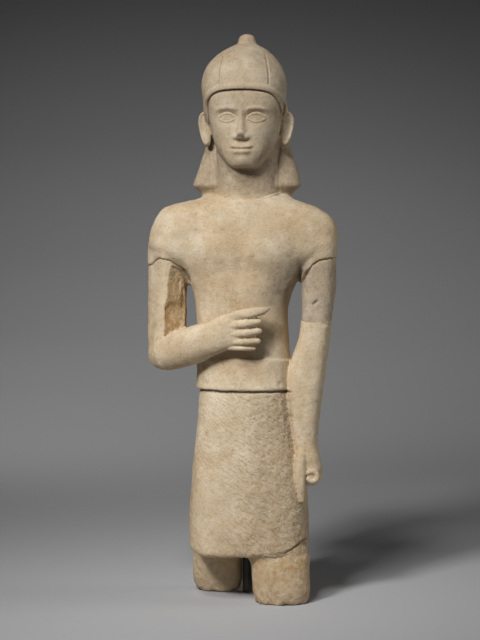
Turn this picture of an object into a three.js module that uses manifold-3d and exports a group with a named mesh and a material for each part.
// Cypriot limestone votary: a standing, striding youth carved from one block, broken off above
// the knees, and the dark post that props it between the legs.
// Millimetres, +Z up, the figure faces -Y. The origin is on the floor, at the middle of the plan.
import * as THREE from 'three';
import { LoftGeometry } from 'three/addons/geometries/LoftGeometry.js';
import { mergeVertices } from 'three/addons/utils/BufferGeometryUtils.js';
import Module from 'manifold-3d';

const wasm = await Module();
wasm.setup();

// Driving heights
const HEM = 101; // underside of the kilt
const BELT_BOTTOM = 471;
const BELT_TOP = 530;
const NECKLINE = 886;
const HAIR_END = 917;
const CHIN = 956;
const RIM = 1125; // lower edge of the helmet's rolled rim, over the forehead
const CROWN = 1226; // top of the helmet, under its knob
const TOP = 1249;

// Driving plan positions
const HEAD_X = -1;
const FACE_X = 3; // the face looks a little to the figure's left
const ARM_X = 163; // axis of the hanging upper arm
const BENT_ARM_X = -174; // axis of the bent one
const FIST = { x: 147, y: -30, z: 286 };
const HAND = { x: -6, y: -97, z: 600 };
const POST = { x: 1.6, y: 50, radius: 12.5 };
const PLAN_MIDDLE = { x: -6, y: -3 }; // of the whole figure, on the working axes used here

const LEVEL_SIDES = 28; // corners of one level of the body
const LIMB_SIDES = 16;
const FINGER_SIDES = 8;
const FIT_GAP = 0.3; // clearance between the stone and its post

// Shape helpers

// A point of a superellipse of unit size, whose four corners may differ in squareness.
function roundedPoint(turn, corner) {
  const c = Math.cos(turn);
  const s = Math.sin(turn);
  const quadrant = c >= 0 ? (s >= 0 ? 0 : 3) : s >= 0 ? 1 : 2;
  const power = 2 / (Array.isArray(corner) ? corner[quadrant] : corner);
  return [Math.sign(c) * Math.abs(c) ** power, Math.sign(s) * Math.abs(s) ** power];
}

// Rows of numbers, filled in along a Catmull-Rom spline with this many steps between rows. The
// first three numbers of a row set how far apart the rows are.
function smooth(rows, steps) {
  const apart = (p, q) => Math.hypot(q[0] - p[0], q[1] - p[1], q[2] - p[2]) || 1;
  const filled = [];
  for (let i = 0; i < rows.length - 1; i++) {
    const [b, c] = [rows[i], rows[i + 1]];
    const [a, d] = [rows[i - 1] ?? b, rows[i + 2] ?? c];
    const span = apart(b, c);
    for (let k = 0; k < steps; k++) {
      const t = k / steps;
      filled.push(b.map((from, j) => {
        const slopeIn = ((c[j] - a[j]) * span) / (span + (a === b ? 0 : apart(a, b)));
        const slopeOut = ((d[j] - from) * span) / (span + (d === c ? 0 : apart(c, d)));
        return (2 * t ** 3 - 3 * t ** 2 + 1) * from + (t ** 3 - 2 * t ** 2 + t) * slopeIn
          + (3 * t ** 2 - 2 * t ** 3) * c[j] + (t ** 3 - t ** 2) * slopeOut;
      }));
    }
  }
  filled.push(rows.at(-1));
  return filled;
}

// A closed loft through outlines, one above the other. A row is
// [z, middle x, half-width, front y, back y, squareness, rise of the front over the middle].
function stack(rows, sides = LEVEL_SIDES) {
  const sections = rows.map(([z, x, half, front, back, corner, rise = 0]) => {
    const middle = (front + back) / 2;
    return Array.from({ length: sides }, (_, i) => {
      const [across, along] = roundedPoint((2 * Math.PI * i) / sides, corner);
      return new THREE.Vector3(x + across * half, middle + (along * (back - front)) / 2, z - along * rise);
    });
  });
  return solid(new LoftGeometry(sections, { capStart: true, capEnd: true }));
}

// A closed loft along a path. A row is [x, y, z, half-size across, half-size towards facing].
function limb(rows, facing, { corner = 2, sides = LIMB_SIDES } = {}) {
  const centres = rows.map(([x, y, z]) => new THREE.Vector3(x, y, z));
  const sections = rows.map(([, , , wide, deep], i) => {
    const ahead = centres[Math.min(i + 1, rows.length - 1)];
    const along = ahead.clone().sub(centres[Math.max(i - 1, 0)]).normalize();
    const out = facing.clone().addScaledVector(along, -facing.dot(along)).normalize();
    const across = out.clone().cross(along);
    return Array.from({ length: sides }, (_, k) => {
      const [u, v] = roundedPoint((2 * Math.PI * k) / sides, corner);
      return centres[i].clone().addScaledVector(across, u * wide).addScaledVector(out, v * deep);
    });
  });
  return solid(new LoftGeometry(sections, { capStart: true, capEnd: true }));
}

// The same rows with a rounded end, as long as reach.
function tipped(rows, reach) {
  const [end, before] = [rows.at(-1), rows.at(-2)];
  const step = new THREE.Vector3(end[0] - before[0], end[1] - before[1], end[2] - before[2]).normalize();
  const dome = [0.45, 0.8, 0.97].map((share) => {
    const left = Math.sqrt(1 - share ** 2);
    const go = reach * share;
    return [end[0] + step.x * go, end[1] + step.y * go, end[2] + step.z * go, end[3] * left, end[4] * left];
  });
  return [...rows, ...dome];
}

// A three.js geometry as a manifold solid: only the positions count, with shared corners merged.
function solid(geometry) {
  const bare = new THREE.BufferGeometry().setAttribute('position', geometry.getAttribute('position'));
  bare.setIndex(geometry.index);
  const merged = mergeVertices(bare, 1e-4);
  return new wasm.Manifold(new wasm.Mesh({
    numProp: 3,
    vertProperties: merged.attributes.position.array,
    triVerts: new Uint32Array(merged.index.array),
  }));
}

function joined(solids) {
  return solids.reduce((all, next) => all.add(next));
}

// A manifold solid as a named mesh.
function mesh(name, made, colour) {
  const { vertProperties, triVerts } = made.getMesh();
  const geometry = new THREE.BufferGeometry();
  geometry.setAttribute('position', new THREE.BufferAttribute(new Float32Array(vertProperties), 3));
  geometry.setIndex(new THREE.BufferAttribute(triVerts, 1));
  geometry.translate(-PLAN_MIDDLE.x, -PLAN_MIDDLE.y, 0);
  geometry.computeVertexNormals();
  const material = new THREE.MeshStandardMaterial({ color: colour, roughness: 0.9, metalness: 0 });
  const part = new THREE.Mesh(geometry, material);
  part.name = name;
  return part;
}

const FRONT = new THREE.Vector3(0, -1, 0);

// The kilt, the belt, and the tunic up to its neckline, as one stack.
function trunk() {
  const kilt = [
    [HEM, 10, 119, -90, 86, 3.2, 0],
    [HEM + 5, 10, 127, -98, 93, 3.2, 0],
    [HEM + 14, 10, 131, -101, 96, 3.2, 0],
    [170, 10, 131.5, -100, 96, 3.1, 0],
    [230, 10, 129, -97, 94, 3.1, 0],
    [300, 8, 122, -92, 89, 2.9, 0],
    [380, 5, 111, -84, 83, 2.7, 3],
    [BELT_BOTTOM - 8, 2, 103, -76, 76, 2.6, 0],
  ];
  const belt = [
    [BELT_BOTTOM - 5, 0, 105, -77, 77, 2.6, 0],
    [BELT_BOTTOM, 0, 107, -80, 79, 2.6, 0],
    [BELT_TOP, -1, 104, -72, 71, 2.5, 8],
  ];
  const tunic = smooth([
    [BELT_TOP + 3, -1, 102, -70, 69, 2.4, 8],
    [585, -4, 101, -67, 65, 2.3, 0],
    [640, -6, 102, -68, 63, 2.3, 0],
    [680, -5, 109, -72, 65, 2.3, 0],
    [705, -4, 126, -76, 67, 2.4, 0],
    [733, -4, 149, -78, 68, 2.5, 0],
    [748, -5, 180, -78, 69, 2.5, 0],
    [758, -7, 209, -77, 70, 2.5, 0],
  ], 2);
  const shoulders = smooth([
    [772, -7, 211, -76, 70, 2.5, 0],
    [800, -4, 210, -74, 70, 2.4, 0],
    [828, -2, 205, -71, 69, 2.3, 0],
    [850, -4, 192, -67, 67, 2.25, 0],
    [868, -9, 169, -62, 65, 2.2, -1],
    [880, -5, 134, -57, 62, 2.2, -3],
    [NECKLINE, 0, 109, -56, 60, 2.2, -5],
    [NECKLINE + 10, 4, 90, -38, 56, 2.2, -5],
  ], 2);
  return stack([...kilt, ...belt, ...tunic, ...shoulders]);
}

// The broken thighs of a walking figure: the left one is set forward. Each is flat where it stands.
function leftLeg() {
  return stack([
    [0, 89, 52, -97, 3, 2.4],
    [6, 88, 58, -103, 7, 2.4],
    [24, 87, 63, -104, 9, 2.4],
    [70, 84, 64, -98, 14, 2.4],
    [HEM + 5, 81, 61, -89, 18, 2.4],
    [HEM + 30, 78, 58, -82, 20, 2.4],
  ], 24);
}

function rightLeg() {
  return stack([
    [0, -66, 38, 44, 100, 2.3],
    [7, -67, 46, 37, 106, 2.3],
    [24, -69, 53, 33, 108, 2.3],
    [60, -70, 56, 26, 106, 2.3],
    [HEM + 30, -70, 56, 8, 92, 2.3],
  ], 24);
}

// The figure's right arm: hanging to the elbow, then laid across the belly.
function bentArm() {
  const upper = smooth([
    [BENT_ARM_X, 2, 800, 40, 44],
    [BENT_ARM_X, 0, 740, 43, 46],
    [BENT_ARM_X, -3, 660, 43, 47],
    [BENT_ARM_X, -10, 600, 42, 46],
    [BENT_ARM_X + 1, -21, 541, 41, 44],
  ], 2);
  const fore = smooth([
    [-178, -22, 543, 38, 40],
    [-140, -42, 556, 42, 41],
    [-96, -70, 572, 40, 36],
    [-56, -86, 587, 37, 28],
    [-34, -91, 595, 36, 23],
  ], 2);
  // The inner front of the arm is roughed away to a slope.
  const chamfered = [2.4, 1.25, 2.2, 2.4];
  return [limb(tipped(upper, 33), FRONT, { corner: chamfered }), limb(tipped(fore, 8), FRONT, { corner: 2.3 })];
}

// The open hand on the belly: its back, thumb and four fingers.
function openHand() {
  const back = limb(tipped([
    [HAND.x - 42, HAND.y + 8, HAND.z - 7, 36, 20],
    [HAND.x - 20, HAND.y + 3, HAND.z + 1, 38, 19],
    [HAND.x + 6, HAND.y, HAND.z + 2, 36, 16],
  ], 9), FRONT, { corner: 2.4 });
  // Thumb first: height of the root and the tip over the hand's middle, reach, half its thickness
  const digits = [
    [31, 49, 70, 10],
    [17, 24, 53, 9.5],
    [-1, 4, 51, 9],
    [-18, -14, 48, 8],
    [-32, -29, 38, 6],
  ];
  const fingers = digits.map(([root, tip, reach, thick]) => limb(tipped([
    [HAND.x - 14, HAND.y, HAND.z + root, thick, thick + 4],
    [HAND.x + reach * 0.5, HAND.y - 3, HAND.z + (root + tip) / 2, thick, thick + 3],
    [HAND.x + reach - thick, HAND.y + 3, HAND.z + tip, thick * 0.8, thick],
  ], thick), FRONT, { corner: 2.4, sides: FINGER_SIDES }));
  return [back, ...fingers];
}

// The figure's left arm: it hangs, and joins the kilt from the belt down.
function hangingArm() {
  return limb(smooth([
    [ARM_X, 2, 800, 39, 44],
    [ARM_X, 0, 740, 39, 45],
    [ARM_X + 1, -2, 690, 37, 45],
    [ARM_X - 2, -5, 630, 34, 43],
    [155, -9, 575, 34, 43],
    [143, -14, 520, 40, 42],
    [135, -18, 460, 40, 41],
    [136, -23, 400, 32, 38],
    [139, -27, 345, 26, 34],
    [FIST.x - 2, FIST.y, 315, 26, 33],
  ], 2), FRONT, { corner: 2.6 });
}

// A closed fist with its thumb straight down in front.
function fist() {
  const palm = limb(tipped([
    [FIST.x - 4, FIST.y, 322, 25, 32],
    [FIST.x, FIST.y, FIST.z + 8, 29, 33],
    [FIST.x, FIST.y, FIST.z - 14, 27, 32],
  ], 16), FRONT, { corner: 2.7 });
  const thumb = limb(tipped([
    [FIST.x - 16, FIST.y - 22, 322, 11, 15],
    [FIST.x - 16, FIST.y - 27, FIST.z, 13, 14],
    [FIST.x - 13, FIST.y - 25, FIST.z - 56, 8, 10],
  ], 10), FRONT, { sides: FINGER_SIDES, corner: 2.4 });
  return [palm, thumb];
}

// The neck, and the hair that flares behind it from the helmet to the shoulders.
function neckAndHair() {
  const neck = stack(smooth([
    [NECKLINE - 40, 4, 82, -50, 50, 2],
    [NECKLINE, 4, 74, -50, 50, 2],
    [NECKLINE + 20, 4, 67, -52, 52, 2],
    [940, 4, 65, -54, 54, 2],
    [1010, 3, 67, -60, 60, 2.1],
  ], 2), 24);
  const hair = stack([
    [NECKLINE - 12, 1, 102, -8, 72, 2.7],
    [HAIR_END - 15, 1, 104, -9, 75, 2.7],
    [HAIR_END - 1, 1, 119, -15, 83, 2.8],
    [HAIR_END + 4, 1, 120, -16, 85, 2.8],
    [960, 2, 108, -10, 90, 2.7],
    [1010, 2, 94, 0, 94, 2.6],
    [1060, 1, 86, 6, 96, 2.5],
    [1100, HEAD_X, 83, 10, 96, 2.4],
  ], 24);
  return [neck, hair];
}

// The face: a plain oval with its features laid on.
function face() {
  const skull = stack(smooth([
    [CHIN, FACE_X, 22, -86, -48, 2],
    [CHIN + 4, FACE_X, 31, -92, -30, 2],
    [CHIN + 19, FACE_X, 47, -96, 20, 2.1],
    [997, FACE_X, 63, -95, 50, 2.2],
    [1030, FACE_X, 75, -92, 70, 2.3],
    [1065, FACE_X - 1, 81, -90, 82, 2.4],
    [1100, HEAD_X + 1, 83, -91, 88, 2.4],
    [1140, HEAD_X + 1, 80, -84, 88, 2.2],
  ], 2), 24);
  const features = [limb([
    [FACE_X, -86, 1074, 8, 6],
    [FACE_X, -96, 1048, 9, 10],
    [FACE_X, -103, 1026, 14, 12],
    [FACE_X, -100, 1014, 17, 10],
    [FACE_X, -94, 1010, 12, 6],
  ], FRONT, { sides: 10 })];
  for (const side of [-1, 1]) {
    const eye = FACE_X + side * 34;
    features.push(limb(tipped([
      [eye - side * 17, -84, 1056, 2, 3],
      [eye - side * 9, -87, 1057, 8, 6],
      [eye, -87, 1058, 10, 6.5],
      [eye + side * 9, -83, 1057, 8, 6],
    ], 9), FRONT, { sides: 10 }));
    features.push(limb([
      [FACE_X + side * 12, -86, 1070, 3, 5],
      [eye, -87, 1081, 3.5, 7],
      [eye + side * 20, -78, 1076, 3, 6],
      [eye + side * 29, -68, 1067, 2, 4],
    ], FRONT, { sides: 6 }));
  }
  for (const [z, thick] of [[997, 4], [988, 5]]) {
    features.push(limb([
      [FACE_X - 24, -87, z + 1, 1.5, 3],
      [FACE_X - 11, -93, z, thick, 6],
      [FACE_X + 11, -93, z, thick, 6],
      [FACE_X + 24, -87, z + 1, 1.5, 3],
    ], FRONT, { sides: 8 }));
  }
  return [skull, ...features];
}

// Both ears, set forward-facing under the helmet's edge.
function ears() {
  return [-1, 1].map((side) => {
    const out = new THREE.Vector3(side * 0.35, -1, 0).normalize();
    return limb([
      [HEAD_X + side * 86, -2, 1083, 5, 4],
      [HEAD_X + side * 90, -3, 1078, 11, 6],
      [HEAD_X + side * 92, -3, 1062, 15, 7],
      [HEAD_X + side * 90, -3, 1040, 13, 7],
      [HEAD_X + side * 87, -4, 1018, 10, 7],
      [HEAD_X + side * 85, -4, 1008, 6, 5],
    ], out, { sides: 10 });
  });
}

// The arched opening of the helmet, grown outwards, as a bar through the front of the head.
function opening(grow) {
  const half = 81 + grow;
  const top = RIM + grow;
  const shoulder = 46 + grow; // height of the arch's curved corners
  const arch = new THREE.Shape();
  arch.moveTo(-half, 1030);
  arch.lineTo(half, 1030);
  arch.lineTo(half, top - shoulder);
  arch.bezierCurveTo(half, top - 8, half * 0.72, top, 0, top);
  arch.bezierCurveTo(-half * 0.72, top, -half, top - 8, -half, top - shoulder);
  const bar = new THREE.ExtrudeGeometry(arch, { depth: 140, bevelEnabled: false, curveSegments: 9 });
  bar.rotateX(Math.PI / 2); // the arch stands up, and the bar runs towards -Y
  bar.translate(FACE_X, -12, 0);
  return solid(bar);
}

// The helmet: a dome with a rolled rim round the face and a knob on top.
function helmet() {
  const dome = (grow) => stack(smooth([
    [1052, HEAD_X, 82 + grow, -82 - grow, 96 + grow, 2.3],
    [1086, HEAD_X - 1, 87 + grow, -92 - grow, 101 + grow, 2.3],
    [1120, HEAD_X - 1, 92.5 + grow, -98 - grow, 104 + grow, 2.3],
    [1144, HEAD_X - 1, 93 + grow, -98 - grow, 103 + grow, 2.2],
    [1173, HEAD_X - 1, 84.5 + grow, -88 - grow, 95 + grow, 2.15],
    [1195, HEAD_X, 69.5 + grow, -71 - grow, 79 + grow, 2.1],
    [1213, HEAD_X + 2, 48.5 + grow, -47 - grow, 56 + grow, 2],
    [CROWN, HEAD_X + 4, 24, -22, 30, 2],
  ], 2), 26);
  const rim = dome(2.5).intersect(opening(9)).subtract(opening(0));
  const profile = [[0, -20], [22, -20], [21, 2], [19, 10], [17.5, 15], [14, 19.5], [8, 22.5], [0, 23]];
  const knob = new THREE.LatheGeometry(profile.map(([r, h]) => new THREE.Vector2(r, h)), 18);
  knob.rotateX(Math.PI / 2);
  knob.translate(HEAD_X + 5, 4, TOP - 23);
  return [dome(0).subtract(opening(0)), rim, solid(knob)];
}

// The plain round post that stands between the legs, under the kilt.
function post() {
  const height = HEM - FIT_GAP;
  const bar = new THREE.CylinderGeometry(POST.radius, POST.radius, height, 24);
  bar.rotateX(Math.PI / 2);
  bar.translate(POST.x, POST.y, height / 2);
  return solid(bar);
}

const stone = joined([
  trunk(), leftLeg(), rightLeg(), ...bentArm(), ...openHand(), hangingArm(), ...fist(),
  ...neckAndHair(), ...face(), ...ears(), ...helmet(),
]);

const votary = new THREE.Group();
votary.add(mesh('limestone_figure', stone, 0xcdbb9f));
votary.add(mesh('support_post', post(), 0x24261f));
export default votary;
